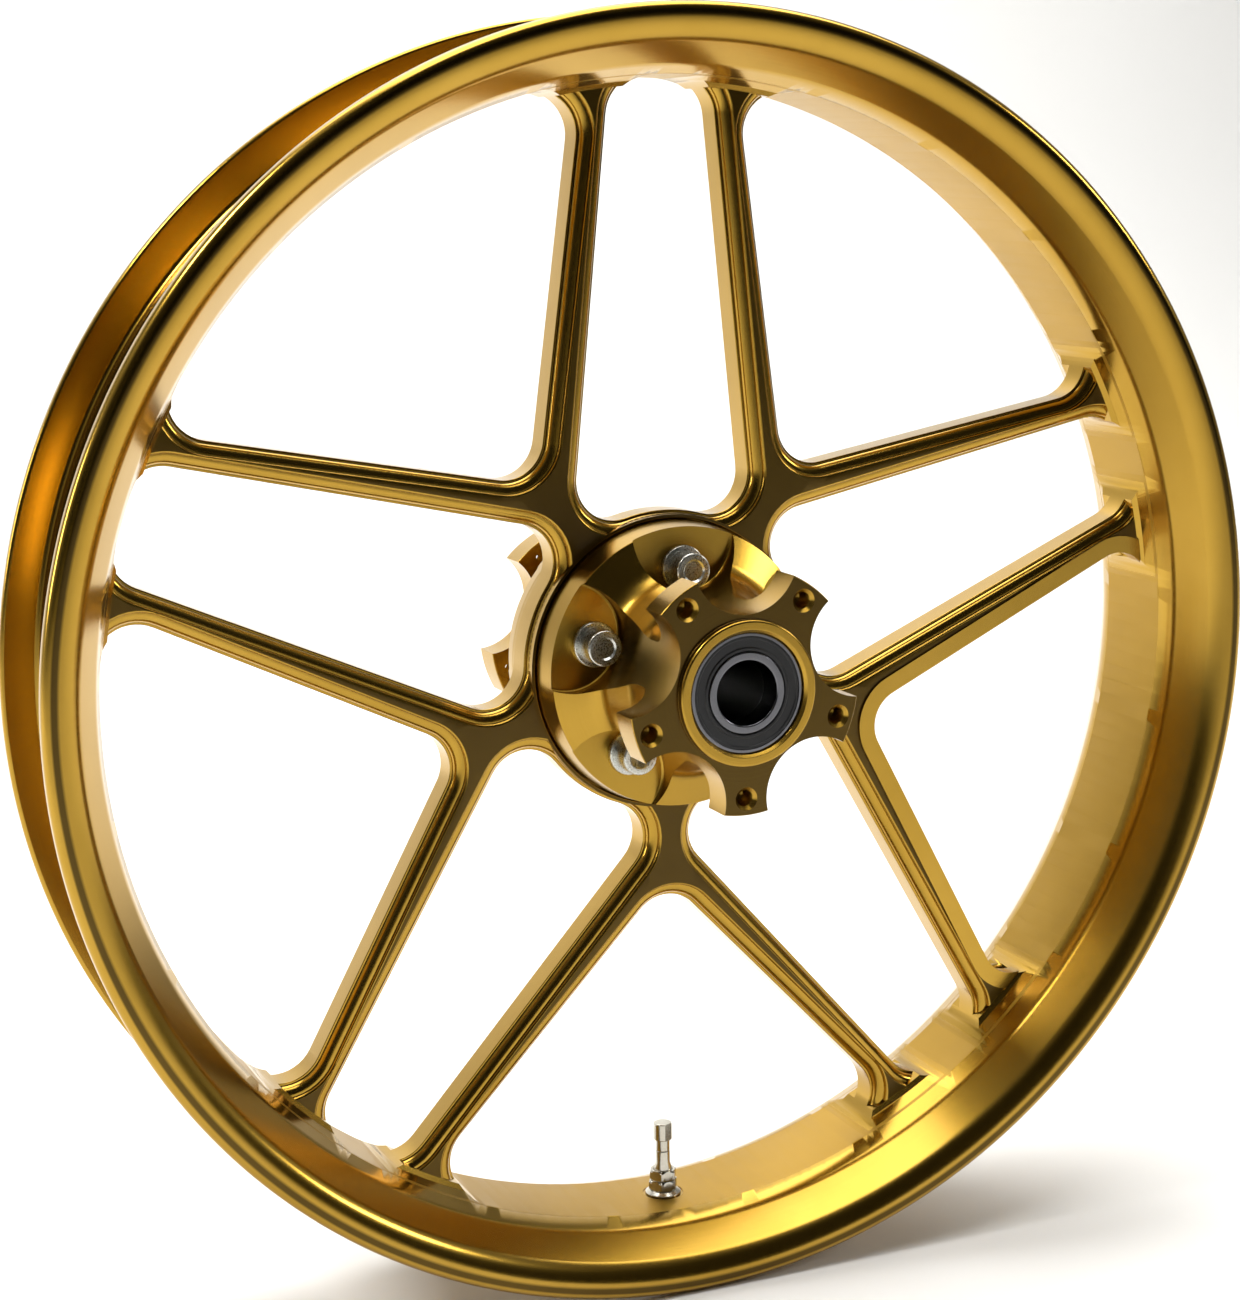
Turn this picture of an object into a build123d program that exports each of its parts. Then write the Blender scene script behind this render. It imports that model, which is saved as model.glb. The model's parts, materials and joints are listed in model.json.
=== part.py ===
from build123d import *
import os
from math import cos, degrees, radians, sin

# Forged motorcycle wheel with its bolted two-piece hub, bearings and tyre valve.
# The axle runs along Y, the near side is -Y and the valve points down (-Z).

# ---------------------------------------------------------------- driving sizes (mm)
# rim
bead_seat_diameter = 482.6  # 19 inch rim
rim_inside_width = 76.2  # 3.0 inch between the flanges
flange_height = 14.7
flange_thickness = 6.9
well_depth = 6.9
well_half_width = 13.5
bead_seat_width = 15.6
bead_seat_drop = 1.1  # taper of the seat towards the well
bead_corner = 2.6
pad_wall = 4.1  # barrel wall left under each window
foot_land = 3.8  # from the spoke foot to the window's outer arc
foot_step = 1.8  # raised edge where the barrel leaves the web
barrel_flare = 4.7
barrel_flare_width = 14.2
lip_flank_radius = 1.2  # outwards from the bead seat
lip_flank_height = 3.0  # below the lip's front plane
lip_crest_offset = 8.7  # outwards from the bead seat
lip_front_round = 4.0
lip_back_round = 2.0

# web and spokes
web_thickness = 22.0
web_floor_thickness = 8.0  # between the two hub recesses
pairs = 5
spoke_root_radius = 100.0
spoke_root_offset = 42.4  # centre line, from the middle of its pair
spoke_root_width = 15.2
spoke_tip_offset = 27.5
spoke_tip_width = 11.0
window_corner = 16.0
ring_wall = 2.8  # web ring round the hub flange

# moulded window edge, from the flat face down to the window wall
bead_round = 1.1
bead_ledge_depth = 1.6
bead_ledge = 0.5
edge_round = 3.6
wall_ledge = 1.0
cutter_clear = 1.0

# hub
hub_flange_radius = 57.7
hub_flange_gap = 0.5
hub_flange_edge = 56.2
bolt_pad_height = 23.0
rib_edge_height = 24.5
hub_spigot_radius = 32.0
hub_spigot_clear = 0.05
hub_spigot_gap = 0.4
hub_bore_radius = 20.0
hub_neck_radius = 33.0
hub_neck_height = 55.0
hub_waist = (39.8, 36.0)  # a point on the hub's flared body: radius, height
lug_back_round = 7.0
scallop_offset = 51.5
scallop_radius = 21.7
rotor_face_height = 80.5
lug_thickness = 14.5
lug_tip_radius = 47.8
lug_pocket_depth = 3.5
lug_pocket_width = 10.8
lug_pocket_length = 8.6
pilot_radius = 28.2
pilot_height = 3.0
pilot_chamfer = 1.1
rotor_pitch_radius = 41.275  # 3.25 inch circle
rotor_hole_radius = 3.25
rotor_hole_depth = 10.0
rotor_hole_chamfer = 0.45

# hub bolts
bolt_pitch_radius = 40.0
bolt_radius = 4.75
bolt_length = 45.0
bolt_head_radius = 7.15
bolt_head_height = 9.5
bolt_socket_flats = 7.9
bolt_socket_depth = 5.0
bolt_clear = 0.25
tapped_clear = 0.05
washer_radius = 9.0
washer_thickness = 2.0
washer_clear = 0.2

# bearings
bearing_bore_radius = 12.5
bearing_outer_radius = 23.5
bearing_width = 12.0
bearing_recess = 2.0  # below the pilot's front face
inner_race_radius = 15.6
outer_race_inner_radius = 20.4
ball_radius = 3.175
ball_count = 10
running_clear = 0.05
seal_recess_radius = 21.9
seal_thickness = 1.3
seal_inset = 0.2
cage_half_width = 3.9
cage_wall = 1.6
pocket_clear = 0.25
spacer_radius = 15.4
spacer_bore_radius = 12.7

# tyre valve
valve_hole_clear = 0.15
valve_body_radius = 4.0
valve_seat_radius = 8.5
valve_seat_depth = 0.2
valve_washer_radius = 7.5
valve_washer_thickness = 2.0
valve_nut_flats = 11.2
valve_locknut_flats = 10.4
valve_nut_height = 4.4
valve_nut_clear = 0.05
valve_head_radius = 6.2
valve_head_height = 2.6
grommet_radius = 6.4
grommet_thickness = 2.2
stem_taper = 3.0
stem_radius = 3.0
stem_length = 5.0
thread_radius = 2.6
thread_length = 10.2
stem_bore_radius = 1.9
core_radius = 1.85
core_head_length = 4.0
core_tube_radius = 1.55
core_length = 10.0
core_recess = 2.2
core_bore_radius = 0.75
core_chamber_radius = 1.35
core_roof = 2.8
core_lip = 0.6
pin_radius = 0.5
pin_collar_radius = 1.2
pin_collar_length = 0.6
pin_cup_radius = 1.4
pin_cup_length = 0.8
pin_top_clear = 0.4
pin_seal_thickness = 0.3
spring_wire_radius = 0.14
spring_radius = 0.95
spring_turns = 4.5
spring_clear = 0.1
cap_top_radius = 3.9
cap_top_flats = 6.8
cap_top_height = 7.4
cap_skirt_radius = 3.2
cap_gap = 0.2  # above the stem's shoulder
cap_seal_thickness = 0.4
cap_roof = 1.9
cap_clear = 0.04

# ---------------------------------------------------------------- worked-out sizes
pitch_angle = 360 / pairs
half_pitch = pitch_angle / 2
bead_radius = bead_seat_diameter / 2
rim_radius = bead_radius + flange_height
flange_inner = rim_inside_width / 2
rim_half_width = flange_inner + flange_thickness
well_radius = bead_radius - well_depth
window_radius = well_radius - pad_wall
foot_radius = window_radius - foot_land
half_web = web_thickness / 2
half_floor = web_floor_thickness / 2
recess_radius = hub_flange_radius + hub_flange_gap
ring_radius = recess_radius + ring_wall
edge_width = bead_round + bead_ledge + edge_round + wall_ledge
edge_depth = bead_ledge_depth + edge_round
bearing_front = rotor_face_height + pilot_height - bearing_recess
bearing_back = bearing_front - bearing_width
bearing_middle = bearing_front - bearing_width / 2
ball_pitch_radius = (bearing_bore_radius + bearing_outer_radius) / 2

os.makedirs("parts", exist_ok=True)


def save(piece, name):
    """Label a finished piece and write its STEP file."""
    piece.part.label = name
    export_step(piece.part, f"parts/{name}.step")


def to_wide_frame(along, across):
    """A point of a spoke pair's frame, seen from the middle line of the wide window beside it."""
    turn = radians(half_pitch)
    return along * cos(turn) + across * sin(turn), along * sin(turn) - across * cos(turn)


def line_through(first, second):
    """Slope and start of the straight line across = start + slope * along."""
    slope = (second[1] - first[1]) / (second[0] - first[0])
    return slope, first[1] - slope * first[0]


# ---------------------------------------------------------------- window outlines
# Both outlines point up (+Z); copies are turned about the axle.
narrow_root = (spoke_root_radius, spoke_root_offset - spoke_root_width / 2)
narrow_tip = (foot_radius, spoke_tip_offset - spoke_tip_width / 2)
narrow_slope, narrow_start = line_through(narrow_root, narrow_tip)
narrow_low = recess_radius / 2
narrow_low_half = narrow_start + narrow_slope * narrow_low
narrow_high_half = narrow_start + narrow_slope * rim_radius

with BuildSketch(Plane.XZ) as narrow_window:
    with BuildLine():
        Polyline(
            (-narrow_low_half, narrow_low),
            (narrow_low_half, narrow_low),
            (narrow_high_half, rim_radius),
            (-narrow_high_half, rim_radius),
            close=True,
        )
    make_face()
    Circle(window_radius, mode=Mode.INTERSECT)
    Circle(ring_radius, mode=Mode.SUBTRACT)
    fillet(narrow_window.vertices(), window_corner)

wide_root = to_wide_frame(spoke_root_radius, spoke_root_offset + spoke_root_width / 2)
wide_tip = to_wide_frame(foot_radius, spoke_tip_offset + spoke_tip_width / 2)
wide_slope, wide_start = line_through(wide_root, wide_tip)
wide_high_half = wide_start + wide_slope * rim_radius

with BuildSketch(Plane.XZ) as wide_window:
    with BuildLine():
        Polyline(
            (0, -wide_start / wide_slope),
            (wide_high_half, rim_radius),
            (-wide_high_half, rim_radius),
            close=True,
        )
    make_face()
    Circle(window_radius, mode=Mode.INTERSECT)
    fillet(wide_window.vertices(), window_corner)


def edge_section(plane):
    """Section of the form cutter: one lobe for each face of the web, x into the metal from the wall."""
    ledge_x = edge_width - bead_round
    round_x = ledge_x - bead_ledge
    with BuildSketch(plane) as section:
        for side in (-1, 1):
            face_y = side * half_web
            top_y = side * (half_web + cutter_clear)
            ledge_y = side * (half_web - bead_ledge_depth)
            floor_y = side * (half_web - edge_depth)
            with BuildLine():
                Line((-cutter_clear, top_y), (edge_width, top_y))
                Line((edge_width, top_y), (edge_width, face_y))
                RadiusArc((edge_width, face_y), (ledge_x, face_y - side * bead_round), side * bead_round)
                Line((ledge_x, face_y - side * bead_round), (ledge_x, ledge_y))
                Line((ledge_x, ledge_y), (round_x, ledge_y))
                RadiusArc((round_x, ledge_y), (wall_ledge, floor_y), side * edge_round)
                Line((wall_ledge, floor_y), (-cutter_clear, floor_y))
                Line((-cutter_clear, floor_y), (-cutter_clear, top_y))
            make_face()
    return section.sketch


def edge_cutter(window):
    """Form cutter carried round a window's edge, except along the rim."""
    outline = window.sketch.faces()[0]
    with BuildPart() as cutter:
        for edge in outline.outer_wire().edges():
            middle = edge.position_at(0.5)
            if edge.geom_type == GeomType.CIRCLE and abs(middle.length - window_radius) < 0.01:
                continue
            start = edge.position_at(0)
            run = edge.tangent_at(0)
            outwards = run.cross(Vector(0, 1, 0))
            probe = start + run * 0.001 + outwards * 0.1
            if outline.is_inside(probe):
                outwards = -outwards
            plane = Plane(origin=start, x_dir=outwards, z_dir=outwards.cross(Vector(0, 1, 0)))
            section = edge_section(plane)
            if edge.geom_type == GeomType.LINE:
                extrude(section, amount=edge.length, dir=run)
            else:
                spin = (start - edge.arc_center).cross(run)
                axis = Axis(edge.arc_center, spin)
                revolve(section, axis=axis, revolution_arc=degrees(edge.length / edge.radius))
        with BuildSketch(Plane.XZ):
            Circle(foot_radius)
            Circle(recess_radius + ring_wall / 2, mode=Mode.SUBTRACT)
        extrude(amount=rim_half_width, both=True, mode=Mode.INTERSECT)
    return cutter


window_cutters = []
for window, first_turn in ((narrow_window, 0), (wide_window, half_pitch)):
    with BuildPart() as hole_cutter:
        extrude(window.sketch, amount=half_web + barrel_flare_width, both=True)
    window_cutters.append((hole_cutter, first_turn))
    window_cutters.append((edge_cutter(window), first_turn))

# ---------------------------------------------------------------- forged wheel
valve_reach = rim_radius - hub_flange_radius

with BuildPart() as forged_wheel:
    with BuildSketch(Plane.XY):
        foot_front = (foot_radius + foot_step, half_web + foot_step)
        flare_end = (foot_front[0] + barrel_flare, foot_front[1] + barrel_flare_width)
        flank_end = (bead_radius + lip_flank_radius, rim_half_width - lip_flank_height)
        crest = (bead_radius + lip_crest_offset, rim_half_width)
        front_corner = (rim_radius - lip_front_round, rim_half_width)
        outer_front = (rim_radius, rim_half_width - lip_front_round)
        outer_back = (rim_radius, flange_inner + lip_back_round)
        back_corner = (rim_radius - lip_back_round, flange_inner)
        flange_root = (bead_radius + bead_corner, flange_inner)
        seat_start = (bead_radius, flange_inner - bead_corner)
        seat_end = (bead_radius - bead_seat_drop, seat_start[1] - bead_seat_width)
        with BuildLine():
            Polyline(
                (hub_spigot_radius, 0),
                (hub_spigot_radius, half_floor),
                (recess_radius, half_floor),
                (recess_radius, half_web),
                (foot_radius, half_web),
                foot_front,
            )
            flare = Line(foot_front, flare_end)
            flank = TangentArc(flare_end, flank_end, tangent=flare % 1)
            TangentArc(flank_end, crest, tangent=flank % 1)
            Line(crest, front_corner)
            RadiusArc(front_corner, outer_front, lip_front_round)
            Line(outer_front, outer_back)
            RadiusArc(outer_back, back_corner, lip_back_round)
            Line(back_corner, flange_root)
            RadiusArc(flange_root, seat_start, -bead_corner)
            Polyline(
                seat_start,
                seat_end,
                (well_radius, well_half_width),
                (well_radius, 0),
                (hub_spigot_radius, 0),
            )
        make_face()
        mirror(about=Plane.XZ)
    revolve(axis=Axis.Y)
    for cutter, first_turn in window_cutters:
        for turn in range(pairs):
            turned_cutter = cutter.part.rotate(Axis.Y, first_turn + turn * pitch_angle)
            add(turned_cutter, mode=Mode.SUBTRACT)
    with BuildSketch(Plane.XZ):
        with PolarLocations(bolt_pitch_radius, pairs, start_angle=90):
            Circle(bolt_radius + bolt_clear)
    extrude(amount=rim_half_width, both=True, mode=Mode.SUBTRACT)
    with BuildSketch(Plane.XY.offset(-hub_flange_radius)):
        Circle(valve_body_radius + valve_hole_clear)
    extrude(amount=-valve_reach, mode=Mode.SUBTRACT)
    with BuildSketch(Plane.XY.offset(-window_radius - valve_seat_depth)):
        Circle(valve_seat_radius)
    extrude(amount=valve_seat_radius, mode=Mode.SUBTRACT)
    with BuildSketch(Plane.XY.offset(-well_radius + valve_seat_depth)):
        Circle(valve_seat_radius)
    extrude(amount=-valve_seat_radius, mode=Mode.SUBTRACT)
save(forged_wheel, "forged_wheel")

# ---------------------------------------------------------------- hub halves
lug_back = rotor_face_height - lug_thickness
pilot_front = rotor_face_height + pilot_height
for side_name, side, hole_clear in (("near", -1, bolt_clear), ("far", 1, tapped_clear)):
    with BuildPart() as hub:
        with BuildSketch(Plane.XY):
            neck_top = lug_back - lug_back_round
            with BuildLine():
                Polyline(
                    (hub_bore_radius, side * bearing_back),
                    (hub_bore_radius, side * hub_spigot_gap),
                    (hub_spigot_radius - hub_spigot_clear, side * hub_spigot_gap),
                    (hub_spigot_radius - hub_spigot_clear, side * half_floor),
                    (hub_flange_radius, side * half_floor),
                    (hub_flange_radius, side * half_web),
                    (hub_flange_edge, side * rib_edge_height),
                )
                ThreePointArc(
                    (hub_flange_edge, side * rib_edge_height),
                    (hub_waist[0], side * hub_waist[1]),
                    (hub_neck_radius, side * hub_neck_height),
                )
                Line((hub_neck_radius, side * hub_neck_height), (hub_neck_radius, side * neck_top))
                RadiusArc(
                    (hub_neck_radius, side * neck_top),
                    (hub_neck_radius + lug_back_round, side * lug_back),
                    side * lug_back_round,
                )
                Polyline(
                    (hub_neck_radius + lug_back_round, side * lug_back),
                    (lug_tip_radius, side * lug_back),
                    (lug_tip_radius, side * rotor_face_height),
                    (pilot_radius, side * rotor_face_height),
                    (pilot_radius, side * (pilot_front - pilot_chamfer)),
                    (pilot_radius - pilot_chamfer, side * pilot_front),
                    (bearing_outer_radius, side * pilot_front),
                    (bearing_outer_radius, side * bearing_back),
                    (hub_bore_radius, side * bearing_back),
                )
            make_face()
        revolve(axis=Axis.Y)
        with BuildSketch(Plane.XZ.offset(-side * bolt_pad_height)):
            with PolarLocations(scallop_offset, pairs, start_angle=90):
                Circle(scallop_radius)
        extrude(amount=-side * pilot_front, mode=Mode.SUBTRACT)
        with BuildSketch(Plane.XZ):
            with PolarLocations(bolt_pitch_radius, pairs, start_angle=90):
                Circle(bolt_radius + hole_clear)
        extrude(amount=-side * bolt_pad_height, mode=Mode.SUBTRACT)
        with BuildSketch(Plane.XZ.offset(-side * rotor_face_height)):
            with PolarLocations(rotor_pitch_radius, pairs, start_angle=-90):
                Circle(rotor_hole_radius)
        extrude(amount=side * rotor_hole_depth, mode=Mode.SUBTRACT)
        with BuildSketch(Plane.XZ.offset(-side * (lug_back + lug_pocket_depth))):
            with PolarLocations(rotor_pitch_radius, pairs, start_angle=-90):
                RectangleRounded(lug_pocket_length, lug_pocket_width, 1.5)
        extrude(amount=side * lug_pocket_depth, mode=Mode.SUBTRACT)
        rims = hub.edges().filter_by(GeomType.CIRCLE).filter_by(
            lambda edge: abs(edge.radius - rotor_hole_radius) < 0.01
            and abs(edge.center().Y - side * rotor_face_height) < 0.01
        )
        chamfer(rims, rotor_hole_chamfer)
    save(hub, f"{side_name}_hub")

# ---------------------------------------------------------------- hub bolts and washers
head_seat = bolt_pad_height + washer_thickness

with BuildPart() as hub_bolts:
    with BuildSketch(Plane.XZ.offset(head_seat)):
        with PolarLocations(bolt_pitch_radius, pairs, start_angle=90):
            Circle(bolt_head_radius)
    extrude(amount=bolt_head_height)
    chamfer(hub_bolts.faces().sort_by(Axis.Y)[:pairs].edges(), 0.8)
    with BuildSketch(Plane.XZ.offset(head_seat)):
        with PolarLocations(bolt_pitch_radius, pairs, start_angle=90):
            Circle(bolt_radius)
    extrude(amount=-bolt_length)
    with BuildSketch(Plane.XZ.offset(head_seat + bolt_head_height)):
        with PolarLocations(bolt_pitch_radius, pairs, start_angle=90):
            RegularPolygon(bolt_socket_flats / 2, 6, major_radius=False)
    extrude(amount=-bolt_socket_depth, mode=Mode.SUBTRACT)
save(hub_bolts, "hub_bolts")

with BuildPart() as hub_bolt_washers:
    with BuildSketch(Plane.XZ.offset(bolt_pad_height)):
        with PolarLocations(bolt_pitch_radius, pairs, start_angle=90):
            Circle(washer_radius)
            Circle(bolt_radius + washer_clear, mode=Mode.SUBTRACT)
    extrude(amount=washer_thickness)
save(hub_bolt_washers, "hub_bolt_washers")

# ---------------------------------------------------------------- bearings, one in each hub half
seal_front = bearing_width / 2 - seal_inset
seal_back = seal_front - seal_thickness
cage_inner = ball_pitch_radius - cage_wall / 2
cage_outer = ball_pitch_radius + cage_wall / 2


def ring(inner, outer, start, end):
    """Plain turned ring about the axle, from start to end along Y."""
    with BuildSketch(Plane.XZ.offset(-start)) as section:
        Circle(outer)
        Circle(inner, mode=Mode.SUBTRACT)
    extrude(section.sketch, amount=start - end)


for side_name, side in (("near", -1), ("far", 1)):
    middle = side * bearing_middle
    front = middle - bearing_width / 2
    back = middle + bearing_width / 2
    with BuildPart() as groove:
        with BuildSketch(Plane.XY):
            with Locations((ball_pitch_radius, middle)):
                Circle(ball_radius + running_clear)
        revolve(axis=Axis.Y)
    with BuildPart() as outer_race:
        ring(outer_race_inner_radius, bearing_outer_radius, front, back)
        add(groove.part, mode=Mode.SUBTRACT)
        for seat in (-1, 1):
            with BuildSketch(Plane.XZ.offset(-middle - seat * seal_back)):
                Circle(seal_recess_radius)
            extrude(amount=seat * bearing_width, mode=Mode.SUBTRACT)
    save(outer_race, f"{side_name}_bearing_outer_race")
    with BuildPart() as inner_race:
        ring(bearing_bore_radius, inner_race_radius, front, back)
        add(groove.part, mode=Mode.SUBTRACT)
    save(inner_race, f"{side_name}_bearing_inner_race")
    with BuildPart() as balls:
        for turn in range(ball_count):
            angle = radians(turn * 360 / ball_count)
            with Locations((ball_pitch_radius * cos(angle), middle, ball_pitch_radius * sin(angle))):
                Sphere(ball_radius)
    save(balls, f"{side_name}_bearing_balls")
    with BuildPart() as cage:
        ring(cage_inner, cage_outer, middle - cage_half_width, middle + cage_half_width)
        for turn in range(ball_count):
            angle = radians(turn * 360 / ball_count)
            with BuildSketch(Plane(origin=(0, middle, 0), z_dir=(cos(angle), 0, sin(angle)))):
                Circle(ball_radius + pocket_clear)
            extrude(amount=bearing_outer_radius, mode=Mode.SUBTRACT)
    save(cage, f"{side_name}_bearing_cage")
    for seal_name, face in (("outer", side), ("inner", -side)):
        ends = sorted((middle + face * seal_back, middle + face * seal_front))
        with BuildPart() as seal:
            ring(inner_race_radius + running_clear, seal_recess_radius, *ends)
        save(seal, f"{side_name}_bearing_{seal_name}_seal")

with BuildPart() as bearing_spacer:
    ring(spacer_bore_radius, spacer_radius, -bearing_back, bearing_back)
save(bearing_spacer, "bearing_spacer")

# ---------------------------------------------------------------- tyre valve
# Heights below are distances from the axle, down the valve's own line.
seat_level = window_radius + valve_seat_depth
well_level = well_radius - valve_seat_depth
nut_level = seat_level - valve_washer_thickness
locknut_level = nut_level - valve_nut_height
taper_level = locknut_level - valve_nut_height
stem_level = taper_level - stem_taper
thread_level = stem_level - stem_length
stem_end = thread_level - thread_length
head_level = well_level + grommet_thickness
core_top = stem_end + core_recess
core_bottom = core_top + core_length
chamber_top = core_top + core_roof
chamber_bottom = core_bottom - core_lip
cup_level = core_bottom + pin_seal_thickness
cap_top = stem_end - cap_seal_thickness - cap_clear - cap_roof
cap_bottom = thread_level - cap_gap


def turned(*points):
    """Turned valve piece from an outline of (radius, distance from the axle) points."""
    with BuildSketch(Plane.XZ) as section:
        with BuildLine():
            Polyline(*[(radius, -level) for radius, level in points], close=True)
        make_face()
    revolve(section.sketch, axis=Axis.Z)


def hex_nut(flats, top, bottom):
    """Hexagonal nut on the valve's body, from top to bottom."""
    with BuildSketch(Plane.XY.offset(-bottom)) as section:
        RegularPolygon(flats / 2, 6, major_radius=False)
        Circle(valve_body_radius + valve_nut_clear, mode=Mode.SUBTRACT)
    extrude(section.sketch, amount=bottom - top)


with BuildPart() as valve_stem:
    turned(
        (stem_bore_radius, stem_end),
        (thread_radius, stem_end),
        (thread_radius, thread_level),
        (stem_radius, thread_level),
        (stem_radius, stem_level),
        (valve_body_radius, taper_level),
        (valve_body_radius, head_level),
        (valve_head_radius, head_level),
        (valve_head_radius, head_level + valve_head_height),
        (stem_bore_radius, head_level + valve_head_height),
    )
save(valve_stem, "valve_stem")

with BuildPart() as valve_grommet:
    turned(
        (valve_body_radius, well_level),
        (grommet_radius, well_level),
        (grommet_radius, head_level),
        (valve_body_radius, head_level),
    )
save(valve_grommet, "valve_grommet")

with BuildPart() as valve_washer:
    turned(
        (valve_body_radius + valve_nut_clear, nut_level),
        (valve_washer_radius, nut_level),
        (valve_washer_radius, seat_level),
        (valve_body_radius + valve_nut_clear, seat_level),
    )
save(valve_washer, "valve_washer")

with BuildPart() as valve_nut:
    hex_nut(valve_nut_flats, locknut_level, nut_level)
save(valve_nut, "valve_nut")

with BuildPart() as valve_locknut:
    hex_nut(valve_locknut_flats, taper_level, locknut_level)
save(valve_locknut, "valve_locknut")

with BuildPart() as valve_core_body:
    turned(
        (core_bore_radius, core_top),
        (core_radius, core_top),
        (core_radius, core_top + core_head_length),
        (core_tube_radius, core_top + core_head_length),
        (core_tube_radius, core_bottom),
        (core_bore_radius, core_bottom),
        (core_bore_radius, chamber_bottom),
        (core_chamber_radius, chamber_bottom),
        (core_chamber_radius, chamber_top),
        (core_bore_radius, chamber_top),
    )
save(valve_core_body, "valve_core_body")

collar_bottom = chamber_top + spring_clear + pin_collar_length
with BuildPart() as valve_core_pin:
    turned(
        (0, stem_end + pin_top_clear),
        (pin_radius, stem_end + pin_top_clear),
        (pin_radius, chamber_top + spring_clear),
        (pin_collar_radius, chamber_top + spring_clear),
        (pin_collar_radius, collar_bottom),
        (pin_radius, collar_bottom),
        (pin_radius, cup_level),
        (pin_cup_radius, cup_level),
        (pin_cup_radius, cup_level + pin_cup_length),
        (0, cup_level + pin_cup_length),
    )
save(valve_core_pin, "valve_core_pin")

with BuildPart() as valve_core_seal:
    turned(
        (pin_radius, core_bottom + running_clear),
        (pin_cup_radius, core_bottom + running_clear),
        (pin_cup_radius, cup_level),
        (pin_radius, cup_level),
    )
save(valve_core_seal, "valve_core_seal")

spring_top = collar_bottom + spring_wire_radius + spring_clear
spring_bottom = chamber_bottom - spring_wire_radius - spring_clear
spring_height = spring_bottom - spring_top
coil = Helix(spring_height / spring_turns, spring_height, spring_radius).moved(
    Location((0, 0, -spring_bottom))
)
with BuildPart() as valve_core_spring:
    with BuildSketch(Plane(origin=coil @ 0, z_dir=coil % 0)):
        Circle(spring_wire_radius)
    sweep(path=coil, is_frenet=True)
save(valve_core_spring, "valve_core_spring")

with BuildPart() as valve_cap:
    turned(
        (0, cap_top),
        (cap_top_radius, cap_top),
        (cap_top_radius, cap_top + cap_top_height),
        (cap_skirt_radius, cap_top + cap_top_height),
        (cap_skirt_radius, cap_bottom),
        (thread_radius + cap_clear, cap_bottom),
        (thread_radius + cap_clear, cap_top + cap_roof),
        (0, cap_top + cap_roof),
    )
    with BuildSketch(Plane.XY.offset(-cap_top)):
        Rectangle(4 * cap_top_radius, 4 * cap_top_radius)
        Rectangle(4 * cap_top_radius, cap_top_flats, mode=Mode.SUBTRACT)
    extrude(amount=-cap_top_height, mode=Mode.SUBTRACT)
save(valve_cap, "valve_cap")

with BuildPart() as valve_cap_seal:
    turned(
        (core_bore_radius, cap_top + cap_roof),
        (thread_radius, cap_top + cap_roof),
        (thread_radius, cap_top + cap_roof + cap_seal_thickness),
        (core_bore_radius, cap_top + cap_roof + cap_seal_thickness),
    )
save(valve_cap_seal, "valve_cap_seal")
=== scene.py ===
"""Gold anodised forged racing wheel with bolted hub halves, sealed bearings and a tyre valve."""

import json
from math import cos, pi, radians, sin

import bmesh
import bpy
import numpy as np
from mathutils import Matrix, Vector

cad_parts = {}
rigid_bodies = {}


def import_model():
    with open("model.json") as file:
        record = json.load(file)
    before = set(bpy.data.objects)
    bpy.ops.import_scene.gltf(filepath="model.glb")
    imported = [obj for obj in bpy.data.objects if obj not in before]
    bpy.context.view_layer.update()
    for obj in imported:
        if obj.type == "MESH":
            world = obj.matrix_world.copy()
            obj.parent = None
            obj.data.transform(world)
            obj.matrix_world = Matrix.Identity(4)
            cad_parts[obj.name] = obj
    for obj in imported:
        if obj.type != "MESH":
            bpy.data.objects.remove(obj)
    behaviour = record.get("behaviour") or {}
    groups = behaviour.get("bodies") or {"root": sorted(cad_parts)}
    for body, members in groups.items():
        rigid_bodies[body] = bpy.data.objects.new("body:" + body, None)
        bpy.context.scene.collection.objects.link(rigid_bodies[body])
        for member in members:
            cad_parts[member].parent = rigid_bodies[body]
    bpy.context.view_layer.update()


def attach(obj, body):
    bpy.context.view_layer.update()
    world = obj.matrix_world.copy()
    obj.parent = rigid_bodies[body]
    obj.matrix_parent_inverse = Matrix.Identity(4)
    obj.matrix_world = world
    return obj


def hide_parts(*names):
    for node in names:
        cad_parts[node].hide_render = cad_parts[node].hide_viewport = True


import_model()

bl_info = {
    "name": "Forged Racing Wheel",
    "version": (1, 0, 0),
    "blender": (4, 5, 0),
    "location": "View3D > Sidebar > Wheel",
    "description": "Makes a gold anodised forged racing wheel and its plain studio",
    "category": "Add Mesh",
}

MM = 0.001
PAIRS = 5
PITCH = 2 * pi / PAIRS

# sizes shared with the frame, mm
RING_RADIUS = 61.0
FOOT_RADIUS = 226.5
WINDOW_RADIUS = 230.3
HALF_WEB = 11.0
WINDOW_CORNER = 16.0
BOLT_PITCH = 40.0
ROTOR_PITCH = 41.275
BEARING_MIDDLE = 75.5
SEAT_LEVEL = 230.5
VALVE_TURN = 0.35  # how far the cap happens to be screwed round
FLOOR_LEVEL = -0.2565  # metres, just under the rim
FLAT_FACE_WEIGHT = 60


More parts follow.
